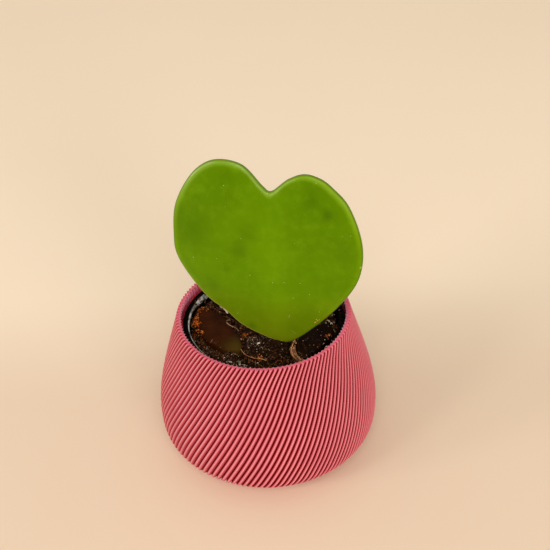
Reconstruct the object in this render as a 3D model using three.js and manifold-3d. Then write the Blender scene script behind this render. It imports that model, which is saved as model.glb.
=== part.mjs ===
// Potted heart-leaf hoya: one thick leaf on a short stalk, rooted in potting soil in a small black nursery
// pot that stands in a ribbed, twisted planter. Millimetres, +Z up, seen from the front along +Y.
// The origin is the centre of the planter's flat base.
import * as THREE from 'three';
import { mergeVertices } from 'three/addons/utils/BufferGeometryUtils.js';
import Module from 'manifold-3d';

const wasm = await Module();
wasm.setup();

const seatGap = 0.3; // between pieces that rest on or in each other

// Planter: an outline of two curves, from the foot to the belly and from the belly to the rim
const planterHeight = 60;
const footRadius = 30;
const footSlope = 0.66; // radians above the ground
const bellyRadius = 42.15;
const bellyHeight = 18.2;
const bellyReach = 12; // how far the belly's upright line pulls the upper curve
const rimRadius = 32.27;
const rimLean = 0.255; // radians inwards
const rimReach = 11.5;
const ribCount = 120;
const ribDepth = 0.95;
const ribTwist = Math.PI / 4; // how far a rib turns between the base and the rim
const wallBehindRibs = 0.95;
const floorThickness = 3;
const mouthSides = 72;
const lowerSteps = 5;
const upperSteps = 6;

// Nursery pot, a thin tapered cup with a flat lip and a short skirt under it
const potBaseRadius = 21;
const potWall = 0.9;
const potMouthRadius = 27.85;
const potLipRadius = 30.1;
const potLipTop = 56.4;
const potLipThickness = 1;
const potLipBevel = 0.3;
const potSkirtDepth = 2.5;
const potSkirtWall = 0.8;
const potSides = 72;
const drainCount = 6;
const drainRadius = 2.2;
const drainCircle = 13;

// Potting soil
const soilEdgeHeight = 52.7;
const soilCrown = 0.9; // how much higher the middle stands
const soilRings = 9;
const soilSides = 60;

// Leaf: an outline in the blade's own plane, with its foot where the blade meets the soil
const leafFoot = new THREE.Vector3(8.1, -11.2, 55);
const leafYaw = THREE.MathUtils.degToRad(14); // the right side comes forwards
const leafLean = THREE.MathUtils.degToRad(11); // backwards
const leafThickness = 3.8;
const leafBow = 1.5; // how far the middle stands in front of the margin
const leafMiddle = new THREE.Vector2(-7.5, 30);
const leafColumns = 84;
const leafRows = 14;
const leafClearance = 0.35;
const leafOutline = [
  [-1, -0.5], [2.5, 1.5], [17.5, 15], [25, 27.5], [25.5, 40.5], [20.7, 55.5], [15.7, 61],
  [11.5, 64], [5.5, 65.5], [0, 63.5], [-6.5, 58.5], [-9, 60], [-16.5, 67], [-26, 68],
  [-33.5, 63.5], [-40.5, 51], [-41.5, 39.5], [-40.5, 31], [-30.5, 16], [-22.5, 9.5], [-16.5, 4],
];

// Stalk: it thickens up to the blade's foot, and tapers off inside the blade
const stalkOffset = -3; // to the left of the leaf's foot
const stalkDepth = 15.5;
const stalkRadius = 1.8;
const stalkCollar = 2.1;
const stalkInBlade = 12;
const stalkSides = 16;

// Husk pieces half sunk in the soil: middle, half sizes, turn about Z and tilt about X, in degrees
const huskColumns = 24;
const huskRows = 10;
const huskDents = 0.25;
const huskPieces = {
  left: { middle: [-18, -2.7, 53.3], half: [14, 6.3, 2], turn: -60, tilt: -4, arch: 0.5, lobe: 0.4 },
  middle: { middle: [0.5, -13.6, 53], half: [8.8, 5.6, 2], turn: -8, tilt: 4, arch: 0.4, lobe: 1.7 },
  right: { middle: [17, -10.9, 53.3], half: [10.4, 6, 2.3], turn: 51, tilt: 3, arch: 0.5, lobe: 2.9 },
};

// A closed geometry as a solid that can be joined and cut
function solidOf(geometry) {
  geometry.deleteAttribute('normal');
  geometry.deleteAttribute('uv');
  const merged = mergeVertices(geometry, 1e-4);
  return new wasm.Manifold(new wasm.Mesh({
    numProp: 3,
    vertProperties: merged.attributes.position.array,
    triVerts: new Uint32Array(merged.index.array),
  }));
}

// A cut can leave a crumb beside the main body; the crumb is dropped
function withoutCrumbs(solid) {
  const bodies = solid.decompose();
  return bodies.reduce((largest, body) => (body.volume() > largest.volume() ? body : largest));
}

function geometryOf(solid) {
  const mesh = solid.getMesh();
  const geometry = new THREE.BufferGeometry();
  geometry.setAttribute('position', new THREE.BufferAttribute(mesh.vertProperties, 3));
  geometry.setIndex(new THREE.BufferAttribute(mesh.triVerts, 1));
  geometry.computeVertexNormals();
  return geometry;
}

function moveVertices(geometry, move) {
  const position = geometry.attributes.position;
  for (let n = 0; n < position.count; n += 1) {
    const point = new THREE.Vector3().fromBufferAttribute(position, n);
    move(point, n);
    position.setXYZ(n, point.x, point.y, point.z);
  }
  return geometry;
}

// A profile of (radius, height) points turned about the upright axis
function turned(profile, sides) {
  const points = profile.map(([radius, height]) => new THREE.Vector2(radius, height));
  return new THREE.LatheGeometry(points, sides).rotateX(Math.PI / 2);
}

// A cushion-like body with two faces that meet at a rounded edge. place gets a column of the edge, how far
// out from the middle it is (0 to 1) and where between the two faces (1 in front, -1 behind).
function cushion(columns, rows, edgeShape, faceShape, place) {
  return moveVertices(new THREE.SphereGeometry(1, columns, rows), (point, n) => {
    const column = n % (columns + 1);
    const polar = Math.PI * Math.floor(n / (columns + 1)) / rows;
    const out = Math.max(0, Math.sin(polar)) ** edgeShape;
    const face = Math.sign(Math.cos(polar)) * Math.abs(Math.cos(polar)) ** faceShape;
    const isPole = polar === 0 || polar === Math.PI;
    point.copy(place(column % columns, isPole ? 0 : out, face));
  });
}

const foot = new THREE.Vector2(footRadius, 0);
const belly = new THREE.Vector2(bellyRadius, bellyHeight);
const rim = new THREE.Vector2(rimRadius, planterHeight);
const footCorner = new THREE.Vector2(bellyRadius, (bellyRadius - footRadius) * Math.tan(footSlope));
const aboveBelly = new THREE.Vector2(bellyRadius, bellyHeight + bellyReach);
const belowRim = new THREE.Vector2(
  rimRadius + rimReach * Math.sin(rimLean),
  planterHeight - rimReach * Math.cos(rimLean),
);

function planterOutline() {
  const lower = new THREE.CubicBezierCurve(foot, footCorner, footCorner, belly);
  const upper = new THREE.CubicBezierCurve(belly, aboveBelly, belowRim, rim);
  return [...lower.getPoints(lowerSteps), ...upper.getPoints(upperSteps).slice(1)];
}

// Every second upright line of the turned outline is a groove, and all of them wind round as they rise
function planter() {
  const outline = planterOutline();
  const upright = new THREE.Vector3(0, 0, 1);
  const profile = [[0, 0], ...outline.map((point) => point.toArray()), [0, planterHeight]];
  const ribbed = moveVertices(turned(profile, ribCount * 2), (point, n) => {
    const isGroove = Math.floor(n / profile.length) % 2 === 1;
    const radius = Math.hypot(point.x, point.y);
    if (isGroove && radius > ribDepth) {
      point.x *= 1 - ribDepth / radius;
      point.y *= 1 - ribDepth / radius;
    }
    point.applyAxisAngle(upright, ribTwist * point.z / planterHeight);
  });
  const inset = ribDepth + wallBehindRibs;
  const aboveFloor = outline.filter((point) => point.y > floorThickness + 1);
  const cavity = turned([
    [0, floorThickness],
    [footRadius, floorThickness],
    ...aboveFloor.map((point) => [point.x - inset, point.y]),
    [rimRadius - inset, planterHeight + 1],
    [0, planterHeight + 1],
  ], mouthSides);
  return solidOf(ribbed).subtract(solidOf(cavity));
}

const potBottom = floorThickness + seatGap;

function nurseryPot() {
  const lipUnderside = potLipTop - potLipThickness;
  const skirtBottom = potLipTop - potSkirtDepth;
  let pot = solidOf(turned([
    [0, potBottom],
    [potBaseRadius, potBottom],
    [potMouthRadius + potWall, lipUnderside],
    [potLipRadius - potSkirtWall, lipUnderside],
    [potLipRadius - potSkirtWall, skirtBottom],
    [potLipRadius, skirtBottom],
    [potLipRadius, potLipTop - potLipBevel],
    [potLipRadius - potLipBevel, potLipTop],
    [potMouthRadius + potLipBevel, potLipTop],
    [potMouthRadius, potLipTop - potLipBevel],
    [potBaseRadius - potWall, potBottom + potWall],
    [0, potBottom + potWall],
  ], potSides));
  for (let k = 0; k < drainCount; k += 1) {
    const angle = 2 * Math.PI * k / drainCount;
    const drain = new THREE.CylinderGeometry(drainRadius, drainRadius, 4 * potWall, 12).rotateX(Math.PI / 2);
    drain.translate(drainCircle * Math.cos(angle), drainCircle * Math.sin(angle), potBottom);
    pot = pot.subtract(solidOf(drain));
  }
  return pot;
}

const bladeRight = new THREE.Vector3(Math.cos(leafYaw), -Math.sin(leafYaw), 0);
const bladeUp = new THREE.Vector3(
  Math.sin(leafLean) * Math.sin(leafYaw),
  Math.sin(leafLean) * Math.cos(leafYaw),
  Math.cos(leafLean),
);
const bladeFront = bladeRight.clone().cross(bladeUp);
const bladeFrame = new THREE.Matrix4().makeBasis(bladeRight, bladeUp, bladeFront).setPosition(leafFoot);

// The blade and its stalk, each surface moved out by grow
function leaf(grow) {
  const corners = leafOutline.map(([across, up]) => new THREE.Vector3(across, up, 0));
  const edge = new THREE.CatmullRomCurve3(corners, true, 'centripetal').getPoints(leafColumns);
  const middle = new THREE.Vector3(leafMiddle.x, leafMiddle.y, 0);
  const halfThickness = leafThickness / 2 + grow;
  const blade = cushion(leafColumns, leafRows, 0.5, 0.35, (column, out, face) => {
    const spoke = edge[column].clone().sub(middle);
    spoke.setLength(spoke.length() + grow);
    const point = middle.clone().addScaledVector(spoke, out);
    point.z = leafBow * (1 - out * out) + halfThickness * face;
    return point;
  });
  const buriedEnd = -stalkDepth - grow;
  const stalk = turned([
    [0, buriedEnd],
    [stalkRadius + grow, buriedEnd],
    [stalkRadius + grow, -stalkDepth / 2],
    [stalkCollar + grow, 0],
    [stalkRadius + grow, stalkInBlade / 2],
    [0, stalkInBlade + grow],
  ], stalkSides).rotateX(-Math.PI / 2).translate(stalkOffset, 0, 0);
  return solidOf(blade.applyMatrix4(bladeFrame)).add(solidOf(stalk.applyMatrix4(bladeFrame)));
}

// The height of the soil's surface: a low crown with lumps
function soilTop(x, y) {
  const crown = soilCrown * (1 - (x * x + y * y) / (potMouthRadius * potMouthRadius));
  const lumps = 0.4 * Math.sin(0.42 * x + 1.3) * Math.cos(0.37 * y - 0.4)
    + 0.3 * Math.sin(0.81 * x - 0.66 * y + 2.1)
    + 0.2 * Math.sin(1.25 * x + 0.95 * y);
  return soilEdgeHeight + crown + lumps;
}

function pottingSoil() {
  const wallLean = (potMouthRadius - (potBaseRadius - potWall)) / (potLipTop - potBottom);
  const bottom = potBottom + potWall + seatGap;
  const edgeRadius = potMouthRadius - seatGap - wallLean * (potLipTop - soilEdgeHeight);
  const profile = [[0, bottom], [potBaseRadius - potWall - seatGap, bottom]];
  for (let ring = soilRings; ring >= 0; ring -= 1) {
    profile.push([edgeRadius * ring / soilRings, soilEdgeHeight]);
  }
  return solidOf(moveVertices(turned(profile, soilSides), (point) => {
    if (point.z > bottom + 1) point.z = soilTop(point.x, point.y);
  }));
}

// A flattish, slightly arched husk piece, its surface moved out by grow
function husk({ middle, half, turn, tilt, arch, lobe }, grow) {
  const body = cushion(huskColumns, huskRows, 0.42, 0.42, (column, out, face) => {
    const angle = 2 * Math.PI * column / huskColumns;
    const wave = 1 + 0.07 * Math.sin(3 * angle + lobe) + 0.04 * Math.sin(5 * angle - 2 * lobe);
    const across = Math.cos(angle) * out * wave;
    const deep = Math.sin(angle) * out * wave;
    const dents = huskDents * out * Math.sin(7 * across + 4 * deep + lobe);
    const height = (half[2] + grow) * face + arch * (1 - across * across) + dents;
    return new THREE.Vector3((half[0] + grow) * across, (half[1] + grow) * deep, height);
  });
  body.rotateX(THREE.MathUtils.degToRad(tilt)).rotateZ(THREE.MathUtils.degToRad(turn)).translate(...middle);
  return solidOf(body);
}

const group = new THREE.Group();

function addPiece(name, solid, color, roughness) {
  const material = new THREE.MeshStandardMaterial({ color, roughness, metalness: 0 });
  const piece = new THREE.Mesh(geometryOf(solid), material);
  piece.name = name;
  group.add(piece);
}

// The husk makes room for the leaf and for the husk before it, and the soil makes room for them all
let taken = leaf(leafClearance);
addPiece('planter', planter(), 0xd8626c, 0.6);
addPiece('nursery_pot', nurseryPot(), 0x17150f, 0.5);
for (const [name, piece] of Object.entries(huskPieces)) {
  addPiece(`husk_${name}`, withoutCrumbs(husk(piece, 0).subtract(taken)), 0x3a2218, 0.85);
  taken = taken.add(husk(piece, seatGap));
}
addPiece('potting_soil', withoutCrumbs(pottingSoil().subtract(taken)), 0x241812, 0.95);
addPiece('leaf', leaf(0), 0x5f8a08, 0.4);

export default group;
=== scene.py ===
import math
from random import Random

import bpy
from mathutils import Matrix, Vector, noise
from mathutils.bvhtree import BVHTree


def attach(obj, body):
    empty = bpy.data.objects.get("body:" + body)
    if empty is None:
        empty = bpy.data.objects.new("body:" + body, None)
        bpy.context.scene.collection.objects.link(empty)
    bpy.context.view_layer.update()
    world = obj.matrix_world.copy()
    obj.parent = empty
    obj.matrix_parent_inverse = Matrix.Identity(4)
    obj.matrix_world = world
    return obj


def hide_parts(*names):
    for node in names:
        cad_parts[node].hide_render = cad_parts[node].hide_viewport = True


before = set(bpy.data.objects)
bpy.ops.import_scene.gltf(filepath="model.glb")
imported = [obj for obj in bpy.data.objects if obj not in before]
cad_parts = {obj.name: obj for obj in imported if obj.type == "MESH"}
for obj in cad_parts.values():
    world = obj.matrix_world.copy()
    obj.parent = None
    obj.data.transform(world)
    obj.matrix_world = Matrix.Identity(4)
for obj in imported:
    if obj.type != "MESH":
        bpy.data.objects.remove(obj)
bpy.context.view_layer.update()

mm = 0.001  # every size below is in millimetres, and meshes are made in metres


def tone(hexCode):
    # a colour as it looks on a screen, turned into the linear numbers that Blender uses
    channels = [int(hexCode[n:n + 2], 16) / 255 for n in (1, 3, 5)]
    return tuple(c / 12.92 if c <= 0.04045 else ((c + 0.055) / 1.055) ** 2.4 for c in channels) + (1.0,)


def blend(low, high, share):
    return low + (high - low) * share


def ease(low, high, value):
    # 0 below low, 1 above high, and a soft step between them
    share = min(max((value - low) / (high - low), 0.0), 1.0)
    return share * share * (3 - 2 * share)


# Node trees, for shapes and for finishes alike

class Board:
    def __init__(self, tree):
        self.tree = tree

    def add(self, kind, inputs=(), **settings):
        node = self.tree.nodes.new(kind)
        for name, value in settings.items():
            setattr(node, name, value)
        for slot, value in dict(inputs).items():
            self.feed(node.inputs[slot], value)
        return node

    def feed(self, socket, value):
        if isinstance(value, bpy.types.NodeSocket):
            self.tree.links.new(value, socket)
        else:
            socket.default_value = value

    def math(self, operation, *values):
        return self.add("ShaderNodeMath", enumerate(values), operation=operation).outputs[0]

    def vectors(self, operation, *values):
        return self.add("ShaderNodeVectorMath", enumerate(values), operation=operation).outputs[0]

    def combine(self, x, y, z):
        return self.add("ShaderNodeCombineXYZ", enumerate((x, y, z))).outputs[0]

    def scaled(self, vector, amount):
        longer = self.vectors("SCALE", vector)
        self.feed(longer.node.inputs["Scale"], amount)
        return longer

    def distance(self, first, second):
        return self.vectors("DISTANCE", first, second).node.outputs["Value"]

    def split(self, vector):
        return self.add("ShaderNodeSeparateXYZ", {0: vector}).outputs

    def form(self, kind, inputs=(), **settings):
        # a shape node, of which the first output is used
        return self.add("GeometryNode" + kind, inputs, **settings).outputs[0]

    def times(self, first, second):
        return self.math("MULTIPLY", first, second)

    def plus(self, first, second):
        return self.math("ADD", first, second)

    def minus(self, first, second):
        return self.math("SUBTRACT", first, second)

    def larger(self, first, second):
        return self.math("MAXIMUM", first, second)

    def named(self, name):
        return self.form("InputNamedAttribute", {"Name": name}, data_type="FLOAT")

    def here(self):
        return self.form("InputPosition")

    def shaken(self, scale, detail, amount):
        # a small random push, from noise at the place where the point is
        noisy = self.add("ShaderNodeTexNoise", {"Vector": self.here(), "Scale": scale, "Detail": detail})
        return self.scaled(self.vectors("SUBTRACT", noisy.outputs["Color"], (0.5, 0.5, 0.5)), amount)

    def chance(self, low, high, seed, kind="FLOAT"):
        node = self.add("FunctionNodeRandomValue", {"Seed": seed}, data_type=kind)
        for name, value in (("Min", low), ("Max", high)):
            self.feed([socket for socket in node.inputs if socket.enabled and socket.name == name][0], value)
        return [socket for socket in node.outputs if socket.enabled][0]

    def place(self):
        return self.add("ShaderNodeTexCoord").outputs["Object"]

    def number(self, name):
        return self.add("ShaderNodeAttribute", attribute_name=name).outputs["Fac"]

    def speckle(self, place, scale, detail=3.0, roughness=0.55):
        inputs = {"Vector": place, "Scale": scale, "Detail": detail, "Roughness": roughness}
        return self.add("ShaderNodeTexNoise", inputs).outputs[0]

    def mix(self, share, first, second):
        node = self.add("ShaderNodeMix", data_type="RGBA", clamp_factor=True)
        for slot, value in ((0, share), (6, first), (7, second)):
            self.feed(node.inputs[slot], tone(value) if isinstance(value, str) else value)
        return node.outputs[2]

    def raised(self, height, strength, distance):
        inputs = {"Height": height, "Strength": strength, "Distance": distance * mm}
        return self.add("ShaderNodeBump", inputs).outputs["Normal"]

    def range(self, value, low, high, toLow=0.0, toHigh=1.0, kind="LINEAR"):
        inputs = {"Value": value, "From Min": low, "From Max": high, "To Min": toLow, "To Max": toHigh}
        return self.add("ShaderNodeMapRange", inputs, interpolation_type=kind).outputs["Result"]


def shapeTree(name, inputs):
    # inputs: name -> kind of socket. The tree ends in Realize Instances and Set Material.
    tree = bpy.data.node_groups.new(name, "GeometryNodeTree")
    for title, kind in inputs.items():
        tree.interface.new_socket(title, in_out="INPUT", socket_type="NodeSocket" + kind)
    tree.interface.new_socket("Geometry", in_out="OUTPUT", socket_type="NodeSocketGeometry")
    board = Board(tree)
    return board, board.add("NodeGroupInput").outputs


def finishTree(board, geometry, material):
    realized = board.form("RealizeInstances", {"Geometry": geometry})
    dressed = board.form("SetMaterial", {"Geometry": realized, "Material": material})
    board.tree.links.new(dressed, board.add("NodeGroupOutput").inputs["Geometry"])
    return board.tree


def addObject(name, data):
    added = bpy.data.objects.new(name, data)
    bpy.context.scene.collection.objects.link(added)
    return added


def keepShape(piece):
    # what the piece's modifiers make becomes its plain mesh
    depsgraph = bpy.context.evaluated_depsgraph_get()
    mesh = bpy.data.meshes.new_from_object(piece.evaluated_get(depsgraph), depsgraph=depsgraph)
    piece.modifiers.clear()
    piece.data = mesh
    return piece


def grow(piece, tree, values):
    # runs a shape tree on a piece
    modifier = piece.modifiers.new(tree.name, "NODES")
    modifier.node_group = tree
    for item in tree.interface.items_tree:
        if item.in_out == "INPUT" and item.name in values:
            modifier[item.identifier] = values[item.name]
    return keepShape(piece)


def circle(radius, sides):
    angles = [math.tau * n / sides for n in range(sides)]
    return [(radius * math.cos(angle), radius * math.sin(angle)) for angle in angles]


def stackedFaces(sides, rings):
    # faces between a first point, rings of points and a last point
    faces = []
    last = 1 + (rings - 1) * sides
    for n in range(sides):
        after = (n + 1) % sides
        faces.append((0, 1 + n, 1 + after))
        for here in range(1, last, sides):
            faces.append((here + n, here + sides + n, here + sides + after, here + after))
        faces.append((last + after, last + n, last + sides))
    return faces


def makePiece(name, points, faces=(), edges=(), attributes=None, material=None):
    # points in millimetres; attributes: name -> one number for each point
    mesh = bpy.data.meshes.new(name)
    mesh.from_pydata([Vector(p) * mm for p in points], edges, faces)
    for title, numbers in (attributes or {}).items():
        mesh.attributes.new(title, "FLOAT", "POINT").data.foreach_set("value", numbers)
    mesh.polygons.foreach_set("use_smooth", [True] * len(mesh.polygons))
    if material:
        mesh.materials.append(material)
    mesh.validate()
    return addObject(name, mesh)


def settle(piece, slot, *nodes):
    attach(piece, "root")
    if nodes:
        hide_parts(*nodes)
    print("made", piece.name, len(piece.data.polygons), "faces")


def newFinish(name):
    material = bpy.data.materials.new(name)
    material.use_nodes = True
    material.node_tree.nodes.clear()
    return material, Board(material.node_tree)


def finished(material, board, inputs):
    shader = board.add("ShaderNodeBsdfPrincipled", inputs)
    outlet = board.add("ShaderNodeOutputMaterial")
    board.tree.links.new(shader.outputs[0], outlet.inputs["Surface"])
    return material


def warm(level):
    return {"Specular IOR Level": level, "Specular Tint": (1.0, 0.66, 0.42, 1.0)}


# Planter: printed pink plastic, 120 ribs that wind an eighth of a turn from the base to the rim. Each rib has
# a steep wall at its left and slopes gently down to its right.

planter = {
    "height": 60,
    "footRadius": 30,
    "footSlope": 0.66,  # radians above the ground
    "bellyRadius": 42.15,
    "bellyHeight": 18.2,
    "bellyReach": 12,
    "rimRadius": 32.27,
    "rimLean": 0.255,
    "rimReach": 11.5,
    "rimRound": 0.25,
    "wall": 1.45,  # at a crest
    "floorTop": 3,
    "floorRadius": 30.6,
    "undersideRadii": (0, 16, 26),
    "ribs": 120,
    "stepsAcrossRib": 8,
    "bunching": 0.3,  # more points where the groove is narrow
    "ribDepth": 1.4,
    "insideRibs": 0.36,  # share of the ribs that shows on the inside
    "insideRibsFrom": (8, 30),  # heights between which they grow
    "twist": math.radians(41.2),
    "rimTwist": math.radians(0.0175),  # added for each square millimetre above rimTwistFrom
    "rimTwistFrom": 50,
    "lowerRows": 18,
    "upperRows": 34,
    "insideRows": 12,
    "layerHeight": 0.72,
    "crestTones": ("#dc8a99", "#e696a3"),
    # painted shade for the rib flanks and the grooves; the flank colour also tints the layer lines
    "layerTintAndFlankShade": "#ba4650",
    "paintedGrooveShade": "#700000",
    "rimTone": "#dc6a80",
    # the inside is painted lighter than the plastic outside, standing in for light on the inner wall, with
    # painted shade in its hollows
    "paintedLitInside": "#ff8499",
    "insideShade": "#ff6e86",
}


def bezier(start, first, second, end, steps):
    points = []
    for step in range(steps + 1):
        t = step / steps
        weights = (1 - t) ** 3, 3 * t * (1 - t) ** 2, 3 * t * t * (1 - t), t ** 3
        points.append(tuple(sum(w * p[k] for w, p in zip(weights, (start, first, second, end)))
                            for k in (0, 1)))
    return points


def planterOutline():
    foot = (planter["footRadius"], 0)
    belly = (planter["bellyRadius"], planter["bellyHeight"])
    rim = (planter["rimRadius"], planter["height"])
    corner = (belly[0], (belly[0] - foot[0]) * math.tan(planter["footSlope"]))
    aboveBelly = (belly[0], belly[1] + planter["bellyReach"])
    belowRim = (rim[0] + planter["rimReach"] * math.sin(planter["rimLean"]),
                rim[1] - planter["rimReach"] * math.cos(planter["rimLean"]))
    lower = bezier(foot, corner, corner, belly, planter["lowerRows"])
    return lower + bezier(belly, aboveBelly, belowRim, rim, planter["upperRows"])[1:]


def planterProfile():
    # (radius, height, share of the rib depth, share of the painted shade) from the middle of the underside
    # round to the middle of the floor. The painted shade darkens the grooves and the notches between the
    # rim's teeth; below 0 it is for the inside, where the crests are hollows.
    outside = planterOutline()
    soft = planter["rimRound"]
    rim, top = planter["rimRadius"], planter["height"]
    inner = rim - planter["wall"]
    inside = planter["insideRibs"]
    rows = [(radius, 0, 0, 0) for radius in planter["undersideRadii"]]
    rows.append((planter["footRadius"] - 0.4, 0, 1, 1))
    rows += [(radius, height, 1, 1) for radius, height in outside if 0 < height < top - soft]
    rows += [(rim + 0.02, top - soft, 1, 1), (rim - 0.07, top - 0.07, 0.9, 0.85), (rim - soft, top, 0.8, 0.6),
             (rim - soft - 0.08, top, 0.78, 0.12), (inner + soft, top, inside, 0.1),
             (inner + 0.07, top - 0.07, inside, -0.15), (inner, top - soft, inside, -0.4)]
    below = [point for point in reversed(outside) if planter["floorTop"] + 1 < point[1] < top - 1.5]
    step = max(1, len(below) // planter["insideRows"])
    for radius, height in below[::step]:
        share = inside * ease(*planter["insideRibsFrom"], height)
        rows.append((radius - planter["wall"], height, share, -0.28))
    ground, floor = planter["floorTop"], planter["floorRadius"]
    rows += [(floor + 0.9, ground + 0.6, 0, 0), (floor, ground, 0, 0), (20, ground, 0, 0), (0, ground, 0, 0)]
    return rows


def turningTree():
    # turns an outline of points about the upright axis, with round ribs that wind as they rise
    board, given = shapeTree("turnedOutline", {
        "Outline": "Geometry", "Ribs": "Int", "Steps across a rib": "Int", "Rib depth": "Float",
        "Twist per metre": "Float", "Rim twist": "Float", "Rim twist from": "Float", "Bunching": "Float",
        "Material": "Material",
    })
    rows = board.form("AttributeDomainSize", {"Geometry": given["Outline"]}, component="MESH")
    columns = board.plus(board.times(given["Ribs"], given["Steps across a rib"]), 1)
    grid = board.form("MeshGrid", {"Size X": 1.0, "Size Y": 1.0, "Vertices X": columns, "Vertices Y": rows})
    along = board.split(board.here())
    row = board.math("ROUND", board.times(board.plus(along[1], 0.5), board.minus(rows, 1)))
    samples = []
    for value, kind in ((board.here(), "FLOAT_VECTOR"), (board.named("ribShare"), "FLOAT"),
                        (board.named("paintedShadeShare"), "FLOAT")):
        inputs = {"Geometry": given["Outline"], "Index": row, "Value": value}
        samples.append(board.form("SampleIndex", inputs, data_type=kind, domain="POINT"))
    spot, ribShare, paintedShadeShare = samples
    profile = board.split(spot)
    across = board.times(board.plus(along[0], 0.5), given["Ribs"])
    place = board.math("FRACT", across)
    wave = board.math("SINE", board.times(place, math.tau))
    bunched = board.times(board.math("DIVIDE", wave, math.tau), given["Bunching"])
    place = board.minus(place, bunched)
    fromCrest = board.minus(board.times(place, 2), 1)
    leftward = board.larger(board.times(fromCrest, -1), 0)
    rightward = board.larger(fromCrest, 0)

    dip = board.plus(board.math("POWER", leftward, 5), board.math("POWER", rightward, 1.7))
    sunk = board.times(dip, ribShare)
    # painted shade, stored for the finish: outside it darkens each rib's steep wall and its gentle slope
    # towards the groove, inside it darkens the hollows
    steepWallShade = board.range(leftward, 0.48, 0.8)
    gentleSlopeShade = board.range(fromCrest, -0.27, 1.04)
    outsideShade = board.times(board.larger(paintedShadeShare, 0), board.larger(steepWallShade, gentleSlopeShade))
    hollow = board.plus(board.math("POWER", board.minus(1, dip), 3), 0.15)
    inner = board.times(board.math("MINIMUM", paintedShadeShare, 0), hollow)
    ribPlace = board.plus(board.math("FLOOR", across), board.minus(place, 0.5))
    turn = board.math("DIVIDE", ribPlace, given["Ribs"])
    above = board.larger(board.minus(profile[2], given["Rim twist from"]), 0)
    wound = board.plus(board.times(profile[2], given["Twist per metre"]),
                       board.times(board.times(above, above), given["Rim twist"]))
    angle = board.plus(board.times(turn, math.tau), wound)
    radius = board.minus(profile[0], board.times(sunk, given["Rib depth"]))
    moved = board.combine(board.times(radius, board.math("COSINE", angle)),
                          board.times(radius, board.math("SINE", angle)), profile[2])
    inputs = {"Geometry": grid, "Name": "paintedShade", "Value": board.plus(outsideShade, inner)}
    kept = board.form("StoreNamedAttribute", inputs, data_type="FLOAT", domain="POINT")
    bent = board.form("SetPosition", {"Geometry": kept, "Position": moved})
    merged = board.form("MergeByDistance", {"Geometry": bent, "Distance": 0.002 * mm})
    smooth = board.form("SetShadeSmooth", {"Geometry": merged, "Shade Smooth": True})
    return finishTree(board, smooth, given["Material"])


def turnOutline(tree, name, profile, values):
    edges = [(n, n + 1) for n in range(len(profile) - 1)]
    points = [(row[0], 0, row[1]) for row in profile]
    shares = {"ribShare": [row[2] for row in profile], "paintedShadeShare": [row[3] for row in profile]}
    outline = makePiece(name, points, edges=edges, attributes=shares)
    return grow(outline, tree, values)


def printedPlastic():
    material, board = newFinish("pinkPrintedPlastic")
    place = board.place()
    paintedShade = board.number("paintedShade")
    cloud = board.speckle(place, 60)
    crest = board.mix(board.range(cloud, 0.35, 0.65), *planter["crestTones"])
    height = board.split(place)[2]
    layer = board.math("SINE", board.times(height, math.tau / (planter["layerHeight"] * mm)))
    lined = board.mix(board.range(layer, -1, 1, 0, 0.22), crest, planter["layerTintAndFlankShade"])
    # painted shade: darker down the flanks and dark red in the grooves
    flank = board.mix(board.range(paintedShade, 0, 0.5), lined, planter["layerTintAndFlankShade"])
    outside = board.mix(board.range(paintedShade, 0.7, 0.96), flank, planter["paintedGrooveShade"])
    topmost = board.range(height, (planter["height"] - 0.5) * mm, (planter["height"] - 0.1) * mm)
    outside = board.mix(topmost, outside, planter["rimTone"])
    # painted light on the inside wall, painted shade in its hollows, and dark painted shade at the hollows of
    # the rim's inner edge
    inside = board.mix(board.range(paintedShade, -0.08, -0.3), planter["paintedLitInside"], planter["insideShade"])
    inside = board.mix(board.range(paintedShade, -0.33, -0.43), inside, planter["paintedGrooveShade"])
    isInside = board.range(paintedShade, -0.01, -0.04)
    dull = board.larger(board.larger(isInside, topmost), board.range(paintedShade, 0.3, 0.6))
    printed = board.range(board.speckle(place, 900), 0.3, 0.7, 0.42, 0.56)
    grain = board.plus(board.times(layer, 0.35), board.speckle(place, 1500))
    return finished(material, board, {
        "Base Color": board.mix(isInside, outside, inside),
        "Subsurface Weight": isInside,  # light comes through the wall
        "Subsurface Radius": (1.0, 0.44, 0.52),
        "Subsurface Scale": 5 * mm,
        "Roughness": board.larger(printed, board.range(dull, 0, 1, 0, 1)),
        "Specular IOR Level": 0.15,
        "Specular Tint": (1.0, 0.55, 0.62, 1.0),
        "Normal": board.raised(grain, 0.5, 0.06),
    })


turning = turningTree()
planterPiece = turnOutline(turning, "twistedPlanter", planterProfile(), {
    "Ribs": planter["ribs"],
    "Steps across a rib": planter["stepsAcrossRib"],
    "Rib depth": planter["ribDepth"] * mm,
    "Twist per metre": planter["twist"] / (planter["height"] * mm),
    "Rim twist": planter["rimTwist"] / (mm * mm),
    "Rim twist from": planter["rimTwistFrom"] * mm,
    "Bunching": planter["bunching"],
    "Material": printedPlastic(),
})
settle(planterPiece, "planter", "planter")


# Nursery pot: thin black plastic, painted near black so that its lip also stands in for the shade of the deep
# gap beside the planter, with a whitish film of hard water inside, mostly at the left, that also paints the
# reflection of the light on the inner wall

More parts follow.
